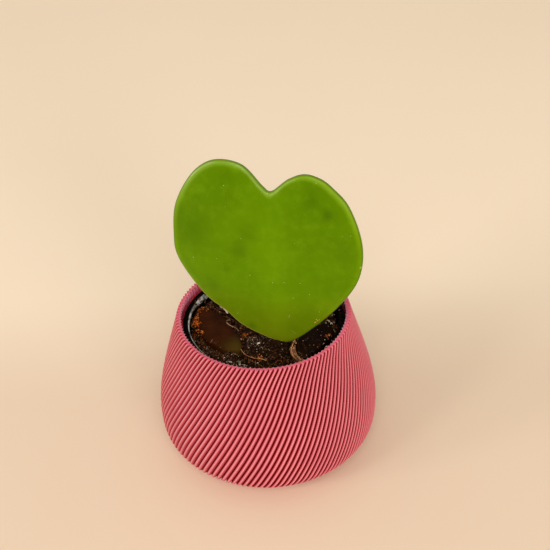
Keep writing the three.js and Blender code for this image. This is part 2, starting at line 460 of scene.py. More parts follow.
nurseryPot = {
    "bottom": 3.3,
    "baseRadius": 21,
    "wall": 0.9,
    "mouthRadius": 27.85,
    "lipRadius": 30.1,
    "lipTop": 56.4,
    "lipThickness": 1,
    "lipRound": 0.3,
    "skirtDepth": 2.5,
    "skirtWall": 0.8,
    "sides": 144,
    "drains": 6,
    "drainRadius": 2.2,
    "drainCircle": 13,
    # the whitish band is a hard-water film and also a painted reflection of the light on the inner wall
    "filmSheenDepth": 0.85,
    "filmSheenPatch": 1.5,  # how much deeper it reaches at the back
    "filmSheenEnd": (-19.5, -22.5),  # it fades in between these, from the middle to the left
    "filmSheenBack": (10, 13.5),  # and gets deeper between these, towards the back
    # black plastic, painted near black so that the lip also stands in for the shade of the deep gap beside
    # the planter
    "blackPlasticAndGapShade": "#010101",
    "filmSheenTone": "#c8ccca",
}


def potProfile():
    pot = nurseryPot
    lip, mouth, top, soft = pot["lipRadius"], pot["mouthRadius"], pot["lipTop"], pot["lipRound"]
    under = top - pot["lipThickness"]
    skirt = lip - pot["skirtWall"]
    floor = pot["bottom"] + pot["wall"]
    rows = [(0, pot["bottom"]), (pot["baseRadius"] - 0.5, pot["bottom"]),
            (pot["baseRadius"], pot["bottom"] + 0.5), (mouth + pot["wall"], under), (skirt, under),
            (skirt, top - pot["skirtDepth"]), (lip, top - pot["skirtDepth"]), (lip, top - soft)]
    for step in (1, 2, 3):
        angle = step * math.pi / 6
        rows.append((lip - soft * (1 - math.cos(angle)), top - soft * (1 - math.sin(angle))))
    for step in (0, 1, 2, 3):
        angle = step * math.pi / 6
        rows.append((mouth + soft * (1 - math.sin(angle)), top - soft * (1 - math.cos(angle))))
    inner = pot["baseRadius"] - pot["wall"]
    rows += [(mouth - 0.3, top - 2.5), (mouth - 0.62, top - 5), (inner + 0.3, floor + 0.5),
             (inner - 0.3, floor), (0, floor)]
    return [(radius, height, 0, 0) for radius, height in rows]


def blackPlastic():
    material, board = newFinish("blackPotPlastic")
    place = board.place()
    x, y, height = board.split(place)
    end, back = ([value * mm for value in nurseryPot[zone]] for zone in ("filmSheenEnd", "filmSheenBack"))
    leftSide = board.range(x, *end)
    shallow = nurseryPot["filmSheenDepth"] * mm
    depth = board.range(y, *back, shallow, shallow + nurseryPot["filmSheenPatch"] * mm)
    low = board.minus((nurseryPot["lipTop"] - 0.3) * mm, depth)
    band = board.range(board.minus(height, low), 0, 0.3 * mm)
    fromAxis = board.distance(board.combine(x, y, 0.0), (0, 0, 0))
    edge = nurseryPot["mouthRadius"] + nurseryPot["lipRound"]
    inside = board.range(fromAxis, (edge + 0.1) * mm, (edge - 0.15) * mm)
    gaps = board.range(board.speckle(place, 210, 2), 0.34, 0.46, 0.25, 1.0)
    streaks = board.times(board.range(board.speckle(place, 620, 4), 0.3, 0.52), gaps)
    # hard-water film and painted reflection of the light
    filmSheen = board.times(board.times(leftSide, band), board.times(inside, streaks))
    return finished(material, board, {
        "Base Color": board.mix(filmSheen, nurseryPot["blackPlasticAndGapShade"], nurseryPot["filmSheenTone"]),
        "Roughness": board.range(filmSheen, 0, 1, 0.5, 0.85),
        "Specular IOR Level": 0.03,
        "Normal": board.raised(board.speckle(place, 1800), 0.35, 0.06),
    })


def cutDrains(piece):
    # drainage holes through the pot's floor
    sides = 24
    rim = circle(nurseryPot["drainRadius"], sides)
    faces = [tuple(reversed(range(sides))), tuple(range(sides, 2 * sides))]
    faces += [(n, (n + 1) % sides, sides + (n + 1) % sides, sides + n) for n in range(sides)]
    for acrossTo, deepTo in circle(nurseryPot["drainCircle"], nurseryPot["drains"]):
        cutter = makePiece("drainCutter", [(x, y, z) for z in (-3, 3) for x, y in rim], faces)
        cutter.data.transform(Matrix.Translation(Vector((acrossTo, deepTo, nurseryPot["bottom"] + 0.7)) * mm))
        modifier = piece.modifiers.new("drain", "BOOLEAN")
        modifier.operation = "DIFFERENCE"
        modifier.object = cutter
        keepShape(piece)
        bpy.data.objects.remove(cutter)


potPiece = turnOutline(turning, "blackNurseryPot", potProfile(), {
    "Ribs": nurseryPot["sides"],
    "Steps across a rib": 1,
    "Rib depth": 0.0,
    "Twist per metre": 0.0,
    "Rim twist": 0.0,
    "Rim twist from": 0.0,
    "Bunching": 0.0,
    "Material": blackPlastic(),
})
cutDrains(potPiece)
settle(potPiece, "nursery_pot", "nursery_pot")


# Leaf: a thick waxy heart on a short stalk

leaf = {
    "tone": "#4a7000",
    "paleTone": "#577e00",
    "foot": (8.1, -11.2, 55),
    "yaw": 14,  # degrees: the right side comes forwards
    "lean": 11,  # degrees backwards
    "thickness": 3.8,
    "bow": 1.5,
    "middle": (-7.5, 30),
    "columns": 288,
    "rows": 72,
    "edgeShape": 0.55,
    "faceShape": 0.55,
    "notch": (-6.5, 58.5),
    "tip": (-1, -0.5),
    "outline": [
        (-0.8, -0.5), (3.2, 1.1), (17.8, 15.4), (25.3, 27.9), (26.1, 40.3), (20.7, 55), (15.7, 60.4),
        (11.6, 63.5), (5.6, 65), (0.1, 62.9), (-6.5, 57.8), (-8.8, 59.4), (-16.3, 66.7), (-25.8, 67.7),
        (-33, 63.2), (-40, 50.8), (-41.2, 39.5), (-40.3, 30.8), (-30.3, 15.9), (-22, 9.6), (-15.9, 4.6),
    ],
    "darkPatches": [  # across, up, radius, strength
        (14, 51.8, 2.2, 0.9), (8.5, 56, 3, 0.5), (-14, 43, 3.5, 0.5), (-16.5, 36, 3, 0.7),
        (-27, 21.5, 3, 0.5),
        (-21.5, 63, 2.5, 0.4), (-34, 41, 7, 0.45), (20, 38, 5, 0.4), (-12, 12, 6, 0.25), (9, 12, 6, 0.4),
        (2, 7, 4, 0.25), (-12.5, 5.6, 1.4, 0.6), (14, 24, 7, 0.2),
    ],
    "palePatches": [
        (-6, 34, 4.5, 0.15), (-6, 45, 4, 0.15), (-5, 27, 4, 0.2), (13, 18, 4, 0.3), (-18.4, 66.1, 1.8, 0.6),
        (-0.5, 18, 3, 0.3), (-8, 18, 5, 0.25),
    ],
    "stalkOffset": -1.8,
    "stalkDepth": 15.5,
    "stalkRadius": 1.3,
    "stalkEnd": 0.2,
    "stalkInBlade": 12,
}


def smoothLoop(corners, count):
    # a closed curve through the corners, with its pull set by the root of their distances
    corners = [Vector((x, y, 0)) for x, y in corners]
    total = len(corners)
    points = []
    for n in range(count):
        place = n / count * total
        k = int(place)
        share = place - k
        before, start, end, after = (corners[(k + step) % total] for step in (-1, 0, 1, 2))
        gaps = [math.sqrt((b - a).length) for a, b in ((before, start), (start, end), (end, after))]
        leave = ((start - before) / gaps[0] - (end - before) / (gaps[0] + gaps[1])
                 + (end - start) / gaps[1]) * gaps[1]
        arrive = ((end - start) / gaps[1] - (after - start) / (gaps[1] + gaps[2])
                  + (after - end) / gaps[2]) * gaps[1]
        square, cube = share * share, share ** 3
        points.append(start * (2 * cube - 3 * square + 1) + leave * (cube - 2 * square + share)
                      + end * (3 * square - 2 * cube) + arrive * (cube - square))
    return points


def cushion(columns, rows, edgeShape, faceShape, place):
    # two faces that meet at a rounded edge. place(column, out, face) gives a point: out is 0 in the middle
    # and 1 at the edge, and face is 1 in front and -1 behind.
    points = [place(0, 0, 1)]
    for row in range(1, rows):
        polar = math.pi * row / rows
        out = math.sin(polar) ** edgeShape
        face = math.copysign(abs(math.cos(polar)) ** faceShape, math.cos(polar))
        points += [place(column, out, face) for column in range(columns)]
    points.append(place(0, 0, -1))
    return points, stackedFaces(columns, rows - 1)


def bladeFrame():
    yaw, lean = math.radians(leaf["yaw"]), math.radians(leaf["lean"])
    right = Vector((math.cos(yaw), -math.sin(yaw), 0))
    up = Vector((math.sin(lean) * math.sin(yaw), math.sin(lean) * math.cos(yaw), math.cos(lean)))
    return right, up, right.cross(up)


def onBlade(across, up, front):
    axes = bladeFrame()
    return Vector(leaf["foot"]) + axes[0] * across + axes[1] * up + axes[2] * front


def patchiness(flat):
    # above 0 where the skin is paler, below 0 where it is darker
    total = 0
    for sign, patches in ((-1, leaf["darkPatches"]), (1, leaf["palePatches"])):
        for across, up, radius, strength in patches:
            total += sign * strength * math.exp(-((flat.x - across) ** 2 + (flat.y - up) ** 2) / radius ** 2)
    return total


def makeBlade():
    edge = smoothLoop(leaf["outline"], leaf["columns"])
    middle = Vector((*leaf["middle"], 0))
    notch, tip = Vector(leaf["notch"]), Vector(leaf["tip"])
    ribLine = (notch - tip).normalized()
    fromEdge, fromRib, patches = [], [], []

    def place(column, out, face):
        spoke = edge[column] - middle
        flat = middle + spoke * out
        offset = Vector(flat[:2]) - tip
        side = offset.x * ribLine.y - offset.y * ribLine.x
        along = offset.dot(ribLine)
        swell = noise.noise(Vector((flat.x, flat.y, 3 + face)) * 0.055) * 0.5
        swell += noise.noise(Vector((flat.x, flat.y, 9 - face)) * 0.16) * 0.12
        crease = -0.06 * math.exp(-(side / 3) ** 2) * ease(4, 20, along) * (1 - ease(40, 56, along))
        inner = 1 - out ** 8
        front = leaf["bow"] * (1 - out * out) + leaf["thickness"] / 2 * face
        front += (swell + (crease if face > 0 else -crease)) * inner * abs(face)
        fromEdge.append((1 - out) * spoke.length)
        fromRib.append(side)
        patches.append(patchiness(flat) if face > 0 else 0)
        return onBlade(flat.x, flat.y, front)

    points, faces = cushion(leaf["columns"], leaf["rows"], leaf["edgeShape"], leaf["faceShape"], place)
    return points, faces, {"fromEdge": fromEdge, "fromRib": fromRib, "patches": patches}


def makeStalk():
    sides = 32
    radius, depth, inBlade = leaf["stalkRadius"], leaf["stalkDepth"], leaf["stalkInBlade"]
    rings = [(radius, -depth), (radius, -depth / 2), (radius, 0), (radius, inBlade / 2),
             (leaf["stalkEnd"], inBlade)]
    middle = leaf["stalkOffset"]
    points = [onBlade(middle + x, up, y) for radius, up in rings for x, y in circle(radius, sides)]
    faces = [tuple(range(sides)), tuple(reversed(range(len(points) - sides, len(points))))]
    for ring in range(len(rings) - 1):
        for n in range(sides):
            here, after = ring * sides + n, ring * sides + (n + 1) % sides
            faces.append((here, here + sides, after + sides, after))
    return points, faces


def waxyGreen():
    material, board = newFinish("waxyLeafSkin")
    place = board.place()
    fromEdge = board.number("fromEdge")
    fromRib = board.number("fromRib")
    patches = board.number("patches")
    height = board.split(place)[2]
    cloud = board.range(board.speckle(place, 38, 4, 0.5), 0.32, 0.68)
    lobes = board.range(height, 97 * mm, 113 * mm)
    rimZone = board.range(fromEdge, 2.6, 0.7, kind="SMOOTHSTEP")
    # painted highlight on the lower-left rim, where the light catches it
    lowLeftRimHighlight = board.times(board.range(height, 85 * mm, 65 * mm), board.range(fromRib, 0, -6))
    cells = board.add("ShaderNodeTexVoronoi", {"Vector": place, "Scale": 170.0})
    rare = board.math("GREATER_THAN", board.split(cells.outputs["Color"])[0], 0.82)
    dots = board.times(board.range(cells.outputs["Distance"], 0.10, 0.04), rare)
    skin = board.mix(cloud, leaf["tone"], leaf["paleTone"])
    for share, layTone in (
        (board.range(board.speckle(place, 90, 3), 0.62, 0.8, 0, 0.55), "#3e6500"),  # blotches
        (board.range(board.speckle(place, 320, 4), 0.45, 0.75, 0, 0.35), "#668d0e"),  # mottle
        (board.range(board.math("ABSOLUTE", fromRib), 5, 0, 0, 0.1), "#6a9304"),  # midrib
        # painted highlight along the rim, stronger towards the top
        (board.times(rimZone, board.range(height, 75 * mm, 110 * mm, 0.15, 0.5)), "#7ba203"),  # rim
        (board.range(height, 78 * mm, 56 * mm, 0, 0.55), "#76780c"),  # towards the tip
        (board.range(patches, 0, -1, 0, 0.8), "#365b00"),
        (board.range(patches, 0, 1, 0, 0.6), "#6d9a06"),
        (board.range(fromEdge, 0.6, 0.1, 0, 0.35), "#3f5808"),  # margin
        # painted highlight on the lower-left rim
        (board.times(board.range(fromEdge, 0.85, 0.4, 0, 0.6), lowLeftRimHighlight), "#c4b45c"),
        (board.times(dots, 0.45), "#b9cf7a"),
    ):
        skin = board.mix(share, skin, layTone)
    shine = board.range(fromRib, 0, 15, 0.7, 0.22)  # weaker at the right
    pores = board.plus(board.speckle(place, 700, 3), board.times(dots, 1.5))
    return finished(material, board, {
        "Base Color": skin,
        "Roughness": board.range(board.speckle(place, 140, 4), 0.3, 0.7, 0.3, 0.42),
        "Specular IOR Level": 0.26,
        "Specular Tint": (0.9, 1.0, 0.05, 1.0),
        "Coat Weight": board.times(board.times(rimZone, lobes), shine),
        "Coat Roughness": 0.3,
        "Subsurface Weight": 0.12,
        "Subsurface Radius": (0.5, 1.0, 0.1),
        "Subsurface Scale": 1.2 * mm,
        "Normal": board.raised(pores, 0.25, 0.08),
    })


def makeLeaf():
    points, faces, numbers = makeBlade()
    stalkPoints, stalkFaces = makeStalk()
    shift = len(points)
    faces += [tuple(n + shift for n in face) for face in stalkFaces]
    for title, filler in (("fromEdge", 6), ("fromRib", 9), ("patches", 0)):
        numbers[title] += [filler] * len(stalkPoints)
    return makePiece("heartLeaf", points + stalkPoints, faces, attributes=numbers, material=waxyGreen())


leafPiece = makeLeaf()
settle(leafPiece, "leaf", "leaf")


# Potting soil: a plug with a lumpy top

soil = {
    "edgeHeight": 52.7,
    "crown": 0.9,
    "edgeRadius": 27,
    "edgeDepth": 2,
    "bottomRadius": 19.8,
    "bottom": 4.5,
    "rings": 110,
    "sides": 260,
    "darkTone": "#040201",
    "brownTone": "#24140a",
    "hollow": {"place": (-12.2, 2.2), "radius": 1.5, "depth": 2.2},
}


def soilTop(x, y):
    crown = soil["crown"] * (1 - (x * x + y * y) / nurseryPot["mouthRadius"] ** 2)
    lumps = (0.4 * math.sin(0.42 * x + 1.3) * math.cos(0.37 * y - 0.4)
             + 0.3 * math.sin(0.81 * x - 0.66 * y + 2.1) + 0.2 * math.sin(1.25 * x + 0.95 * y))
    return soil["edgeHeight"] + crown + lumps


def soilRelief(x, y):
    clods = noise.fractal(Vector((x, y, 5)) * 0.45, 1.0, 2.0, 3) * 0.45
    grit = noise.noise(Vector((x, y, 1)) * 2.1) * 0.28
    hollow = soil["hollow"]
    away = math.dist((x, y), hollow["place"]) / hollow["radius"]
    return soilTop(x, y) + clods + grit - 0.25 - hollow["depth"] * math.exp(-away ** 4)


def makeSoil():
    points = [(0, 0, soilRelief(0, 0))]
    rings, sides = soil["rings"], soil["sides"]
    for ring in range(1, rings + 1):
        points += [(x, y, soilRelief(x, y)) for x, y in circle(soil["edgeRadius"] * ring / rings, sides)]
    topPoints = len(points)
    soilDepth = soil["edgeHeight"] - soil["bottom"]
    for height in (soil["edgeHeight"] - soil["edgeDepth"], soil["bottom"]):
        radius = blend(soil["bottomRadius"], soil["edgeRadius"], (height - soil["bottom"]) / soilDepth)
        points += [(x, y, height) for x, y in circle(radius, sides)]
    points.append((0, 0, soil["bottom"]))
    share = [1.0] * topPoints + [0.0] * (len(points) - topPoints)
    faces = stackedFaces(sides, rings + 2)
    return makePiece("pottingSoil", points, faces, attributes={"crumbShare": share}, material=darkSoil())


def darkSoil():
    material, board = newFinish("darkPottingSoil")
    place = board.place()
    patch = board.range(board.speckle(place, 500, 5), 0.4, 0.68)
    return finished(material, board, {
        "Base Color": board.mix(patch, soil["darkTone"], soil["brownTone"]),
        "Roughness": board.range(board.speckle(place, 900, 3), 0.3, 0.7, 0.55, 0.95),
        "Normal": board.raised(board.speckle(place, 1400, 5), 0.8, 0.25),
        **warm(0.12),
    })


soilPiece = makeSoil()
settle(soilPiece, "potting_soil", "potting_soil")


# Husk pieces: flattish and half sunk in the soil, with worn fibrous edges

husks = {
    "columns": 160,
    "rows": 64,
    "edgeShape": 0.42,
    "faceShape": 0.42,
    "dents": 0.25,
    "dustTone": "#7c5238",
    "pitTone": "#050201",
    "left": {
        "middle": (-18, -2.7, 53.3), "half": (14, 6.3, 2), "turn": -60, "tilt": -4, "arch": 0.5, "lobe": 0.4,
        "skin": "#3a1804", "shade": "#281104", "fringe": "#2a0f04", "worn": 0.7, "dusty": 0,
        "wornSide": (-0.95, 0.3), "wornTurn": (0.3, 0.85), "wornOut": (0.72, 0.97),
        # a painted highlight: lighter olive towards the lower right
        "oliveHighlight": {"place": (-9.6, -13.8, 55), "radius": 8.5, "tone": "#46360f"},
    },
    "middle": {
        "middle": (0.5, -13.6, 53), "half": (8.8, 5.6, 2), "turn": -8, "tilt": 4, "arch": 0.4, "lobe": 1.7,
        "skin": "#24120a", "shade": "#100704", "fringe": "#6e3c1c", "worn": 0.6, "dusty": 0.3,
        "wornSide": (-0.25, -1), "wornTurn": (0.3, 0.9), "wornOut": (0.88, 0.99),
    },
    "right": {
        "middle": (17, -10.9, 53.3), "half": (10.4, 6, 2.3), "turn": 51, "tilt": 3, "arch": 0.5, "lobe": 2.9,
        "skin": "#160804", "shade": "#040201", "fringe": "#7a5638", "worn": 0.9, "dusty": 0.1,
        "wornSide": (-1, -0.25), "wornTurn": (0.3, 0.8), "wornOut": (0.84, 0.97),
    },
}


def makeHusk(name, piece):
    side = Vector(piece["wornSide"]).normalized()
    turn = (Matrix.Rotation(math.radians(piece["turn"]), 4, "Z")
            @ Matrix.Rotation(math.radians(piece["tilt"]), 4, "X"))
    lobe = piece["lobe"]
    worn = []

    def place(column, out, face):
        angle = math.tau * column / husks["columns"]
        wave = 1 + 0.07 * math.sin(3 * angle + lobe) + 0.04 * math.sin(5 * angle - 2 * lobe)
        across, deep = math.cos(angle) * out * wave, math.sin(angle) * out * wave
        dents = husks["dents"] * out * math.sin(7 * across + 4 * deep + lobe)
        height = piece["half"][2] * face + piece["arch"] * (1 - across * across) + dents
        spot = turn @ Vector((piece["half"][0] * across, piece["half"][1] * deep, height))
        rough = noise.fractal(spot * 0.9 + Vector((lobe * 9, 0, 0)), 1.0, 2.0, 3)
        reach = Vector(spot[:2]).normalized() if out else Vector((0, 0))
        edgeward = ease(*piece["wornOut"], out) * ease(*piece["wornTurn"], reach.dot(side))
        worn.append(edgeward)
        spot.z += rough * (0.14 + 0.35 * edgeward)
        spot.xy += reach * rough * 0.5 * edgeward
        return Vector(piece["middle"]) + spot

    points, faces = cushion(husks["columns"], husks["rows"], husks["edgeShape"], husks["faceShape"], place)
    dusty = [piece["dusty"]] * len(points)
    return makePiece(name, points, faces, attributes={"crumbShare": worn, "worn": worn, "dusty": dusty},
                     material=huskSkin(name, piece))


def huskSkin(name, piece):
    material, board = newFinish(name + "Skin")
    place = board.place()
    worn = board.number("worn")
    cloud = board.range(board.speckle(place, 160, 4), 0.35, 0.65)
    skin = board.mix(cloud, piece["skin"], piece["shade"])
    # painted highlight: lighter olive about a point
    if "oliveHighlight" in piece:
        oliveHighlight = piece["oliveHighlight"]
        away = board.distance(place, Vector(oliveHighlight["place"]) * mm)
        near = board.range(away, oliveHighlight["radius"] * mm, 0.0, kind="SMOOTHSTEP")
        skin = board.mix(near, skin, oliveHighlight["tone"])
    stretched = board.add("ShaderNodeMapping", {"Vector": place, "Scale": (1.0, 3.0, 1.0)})
    strands = board.range(board.speckle(stretched.outputs[0], 900, 4), 0.5, 0.62)
    if piece["dusty"]:
        grain = board.speckle(place, 1300, 3, 0.6)
        rough = board.range(board.speckle(place, 240, 2), 0.4, 0.6, 0.15, 1.0)
        light = board.times(board.range(grain, 0.54, 0.7, 0, 2 * piece["dusty"]), rough)
        skin = board.mix(light, skin, husks["dustTone"])
        dark = board.times(board.range(grain, 0.47, 0.36), rough)
        skin = board.mix(dark, skin, husks["pitTone"])
    edge = board.times(board.times(worn, strands), piece["worn"])
    return finished(material, board, {
        "Base Color": board.mix(edge, skin, piece["fringe"]),
        "Roughness": board.range(cloud, 0, 1, 0.6, 0.8),
        "Normal": board.raised(board.speckle(place, 700, 5), blend(0.4, 1.0, piece["dusty"]), 0.3),
        **warm(0.08),
    })


huskPieces = {}
for sideName in ("left", "middle", "right"):
    huskPieces[sideName] = makeHusk("husk" + sideName.capitalize(), husks[sideName])
    settle(huskPieces[sideName], "husk", "husk_" + sideName)


# Crumbs, specks and fibres that lie on the soil and cling to the worn husk edges

crumbs = {
    "dark": {"density": 1.7, "size": 0.85, "low": "#020100", "high": "#94603e", "curve": 6, "seed": 4},
    "pale": {"density": 0.08, "size": 0.5, "low": "#55483a", "high": "#fff2e0", "curve": 1.6, "seed": 11},
    "rust": {"density": 0.08, "size": 0.65, "low": "#341003", "high": "#f8761c", "curve": 1.6, "seed": 23},
    "grey": {"density": 1, "size": 0.5, "low": "#120906", "high": "#c4a88e", "curve": 4, "seed": 27},
    "amber": {"size": 0.6, "low": "#b04a10", "high": "#ffb070", "curve": 1, "seed": 41},
    "chalk": {"size": 0.85, "low": "#a4988a", "high": "#fff4e6", "curve": 1, "seed": 43},
    "strapTan": {"size": 0.5, "low": "#3c2210", "high": "#f0b488", "curve": 1.2, "seed": 47},
    "rustEdge": {"density": 2.4, "size": 0.8, "low": "#0c0300", "high": "#ff9040", "curve": 3.2, "seed": 31},
    "tanEdge": {"density": 2.4, "size": 0.45, "low": "#301a0e", "high": "#c4966a", "curve": 2, "seed": 33},
    "darkEdge": {"density": 5, "size": 0.65, "low": "#020100", "high": "#22120a", "curve": 1.5, "seed": 37},
    "fibre": {"density": 0.07, "size": 5.0, "low": "#341d0e", "high": "#8d5f36", "curve": 1, "seed": 51},
    "dust": {"size": 0.33, "low": "#8ea83c", "high": "#e8efc0", "curve": 1, "seed": 61},
    "grit": {"size": 0.6, "low": "#9a4408", "high": "#ffb45c", "curve": 1, "seed": 67},
}

heaps = {  # for each heap: its place, how far it spreads, and how many crumbs lie in it
    "pale": [
        (-21.6, -11.2, 0.8, 8), (-19.4, -13.4, 1, 12), (-17, -15.8, 1, 12), (-15, -17.6, 1.2, 18),
        (-13.2, -18.6, 1.2, 24), (-11.4, -19.4, 1.2, 26), (-9.6, -20.4, 1, 20), (-7.8, -21.4, 0.9, 14),
        (-3.5, -20.6, 0.7, 3), (-26.3, -5.8, 0.5, 5),
        (-24.7, -9.1, 0.6, 8), (20.3, -0.6, 0.8, 6), (22.4, -13.6, 0.6, 6), (27.6, 3.6, 0.7, 6),
        (-26.4, 8, 0.5, 4),
    ],
    "chalk": [
        (23.6, 1.6, 0.3, 5), (24.6, 1.1, 0.3, 6), (25.4, 0, 0.3, 4), (22.9, 0.2, 0.2, 2), (26.6, 5, 0.5, 3),
        (-2.1, -12.3, 0.3, 2), (22.1, -16.9, 0.15, 3), (-3.3, -20.6, 0.1, 1), (-5.5, -23.2, 0.1, 1),
        (-21.4, -11, 0.1, 1), (-9.4, -20.2, 0.4, 2), (-12.8, -18.4, 0.4, 2),
    ],
    "amber": [
        (-7.6, -4.8, 0.35, 8), (-6.7, -5.4, 0.3, 4), (18.9, -2, 0.4, 6), (-26.3, 5.2, 0.2, 2),
        (-25.4, 3, 0.3, 3), (-25.2, 0.8, 0.3, 3), (-1.8, -19.1, 0.35, 9), (-4.6, -18.4, 0.2, 2),
        (23.7, -9.8, 0.3, 3),
    ],
    "strapTan": [
        (11.6, -11, 0.4, 10), (10.8, -13.4, 0.4, 16), (10.2, -16.3, 0.5, 24), (10.4, -19, 0.5, 24),
        (11.6, -21.2, 0.4, 20), (13, -22.6, 0.4, 12),
    ],
    "grey": [
        (-5.4, -8.6, 1, 26), (-3.8, -11.6, 1.2, 34), (-2.2, -13.4, 1, 20), (-5, -13.2, 1, 20),
        (-1, -14.8, 0.9, 14), (0.8, -9.4, 0.8, 12), (16, -4, 1.2, 6), (19, -8, 2, 4), (14, -14, 1.6, 6),
        (-21.5, 13.8, 1, 12), (-17, 8.6, 1, 10),
    ],
    "rust": [
        (-26.4, 4.9, 0.5, 14), (-25.6, 2.9, 0.7, 26), (-25.2, 0.9, 0.7, 24), (-24.5, -1.2, 0.7, 20),
        (-24.1, 8.9, 0.6, 12), (-23, 10.2, 0.5, 8), (-26.3, -3.6, 0.5, 8), (-7.6, -4.8, 0.5, 22),
        (-6.6, -5.5, 0.4, 14), (-4.6, -6.9, 0.7, 8), (18.5, -1.2, 0.5, 9), (19.5, -0.8, 0.4, 6),
        (23.6, -11, 0.7, 9), (24.5, -9.4, 0.6, 7), (20.7, -16, 0.6, 6), (-2.6, -18.8, 0.8, 8),
        (-1.6, -19.2, 0.3, 5),
    ],
    "darkEdge": [
        (27.6, 4, 1.2, 40), (28.4, 0.6, 1, 34), (27.6, -3.6, 1, 30), (26.6, 8, 1.2, 30), (25.6, -8, 1.1, 30),
        (25.4, 2.6, 1, 24), (24.6, -3, 1, 20),
    ],
    "dark": [
        (-21.9, 15.6, 1, 30), (-20.3, 13.7, 1.1, 24), (-18.7, 11.2, 1.2, 24), (-16.8, 8.4, 1, 14),
        (-25.6, -5.4, 0.9, 34), (-23.8, -8.6, 1, 50), (-21.8, -10.8, 1, 60), (-19.6, -12.8, 1.1, 60),
        (-17.4, -14.8, 1.1, 60), (-15, -16.4, 1, 50), (-12.6, -17.4, 0.9, 34), (-25.6, 8.2, 0.7, 24),
        (-25.2, 11, 0.7, 26), (-23.6, 13.4, 0.8, 28), (-26.6, 1.6, 0.5, 14), (6.6, -4, 1.4, 20),
    ],
}

heapLift = 0.1
dropFrom = 75  # crumbs are dropped from this height onto what is below
dustFrom = 20  # and dust from this far in front of the leaf

dustPlaces = [  # across and up the leaf
    (-21.9, 59.4), (9.7, 62.6), (2.9, 40.4), (-12.8, 26.8), (2.8, 4.8), (2.2, 5.3), (3.3, 4.4), (-16, 40.6),
    (22.1, 44.7), (-25, 31.7), (-33.7, 31), (-0.5, 25.4), (5.2, 25.6), (8.5, 21.3), (-4.5, 24.9),
    (-18.1, 9.9), (-21.4, 51.9), (1.4, 12), (1.1, 11.2), (19.4, 44.4), (-17.6, 10.6), (12, 14.2),
]

gritPlaces = [(11.3, 10.4), (10.5, 9.6), (12.1, 10.9), (11, 10.9), (11.8, 10.2), (10.1, 9.3), (10.8, 10)]

rootRoughness = 0.7
roots = {  # strands that follow a path; each strays from it by up to the given spread
    # a pale root, made near white so that it also paints the highlight on the leaf's lower-left edge
    "creamRoot": {
        "path": [(-16.2, 10.3, 54.8), (-15.3, 9, 55.4), (-14.4, 7.7, 55.4), (-13.6, 6.6, 54.8)],
        "strands": 3, "spread": (0.3, 0.3, 0.3), "radius": 0.24, "low": "#8a5f30", "high": "#fff0dc",
        "curve": 0.8,
    },
    "curledRoot": {
        "path": [(-12.6, 3.2, 53.8), (-13.8, 1.9, 54.9), (-13.7, 0.2, 54.9), (-12.2, -1.5, 54.9),
                 (-10.8, -2.5, 54.9), (-9.4, -3.4, 54)],
        "strands": 2, "spread": (0.2, 0.25, 0.3), "radius": 0.14, "low": "#241008", "high": "#d8ac90",
        "curve": 1.5,
    },
    "edgeFibre": {
        "path": [(-8.6, -13.9, 54.3), (-7.6, -16, 54.3), (-6.3, -17.4, 54.2), (-4.7, -18.5, 54.2),
                 (-2.8, -19.1, 54.1), (-1.2, -19.3, 54), (0.4, -19.8, 53.6)],
        "strands": 2, "spread": (0.2, 0.2, 0.2), "radius": 0.09, "low": "#6a2c0a", "high": "#f0b070",
        "curve": 0.8,
    },
    "huskStrap": {
        "path": [(11.9, -9.6, 54.9), (10.9, -13.1, 55.2), (10.1, -16.3, 55.2), (10.4, -19, 55.1),
                 (11.5, -21, 54.9), (13.2, -22.6, 54.5)],
        "strands": 22, "spread": (1, 0.4, 0.7), "radius": 0.15, "low": "#241006", "high": "#dc9c6c",
        "curve": 1.6,
    },
}


sowings = {  # what is scattered: over the soil and over the husks
    "darkCrumbs": {"slot": "potting_soil", "over": "soil", "look": "dark", "roughness": 0.8},
    "paleSpecks": {"slot": "potting_soil", "over": "soil", "look": "pale", "roughness": 0.5, "lift": 0.2},
    "rustCrumbs": {"slot": "potting_soil", "over": "soil", "look": "rust", "roughness": 0.7, "lift": 0.15},
    "huskRust": {"slot": "husk", "over": "leftHusk", "look": "rustEdge", "roughness": 0.7},
    "huskTan": {"slot": "husk", "over": "otherHusks", "look": "tanEdge", "roughness": 0.7},
    "huskDark": {"slot": "husk", "over": "allHusks", "look": "darkEdge", "roughness": 0.8},
    "huskGrit": {"slot": "husk", "over": "otherHusks", "look": "grey", "roughness": 0.6, "share": "dusty"},
    "coirFibres": {"slot": "potting_soil", "over": "soil", "look": "fibre", "roughness": 0.75, "lift": 0.3},
}

sowingInputs = {
    "Surface": "Geometry", "Share": "String", "Density": "Float", "Size": "Float", "Lift": "Float",
    "Seed": "Int", "Material": "Material",
}


def scatter(board, given):
    # points on the surface where the attribute of the given name allows them
    density = board.times(given["Density"], board.named(given["Share"]))
    inputs = {"Mesh": given["Surface"], "Density": density, "Seed": given["Seed"]}
    return board.form("DistributePointsOnFaces", inputs, distribute_method="RANDOM")


def shadeEach(board, placed, seed):
    # gives each copy a number of its own, from which its finish takes the tone
    own = board.chance(0.0, 1.0, board.plus(seed, 3))
    inputs = {"Geometry": placed, "Name": "shade", "Value": own}
    return board.form("StoreNamedAttribute", inputs, data_type="FLOAT", domain="INSTANCE")


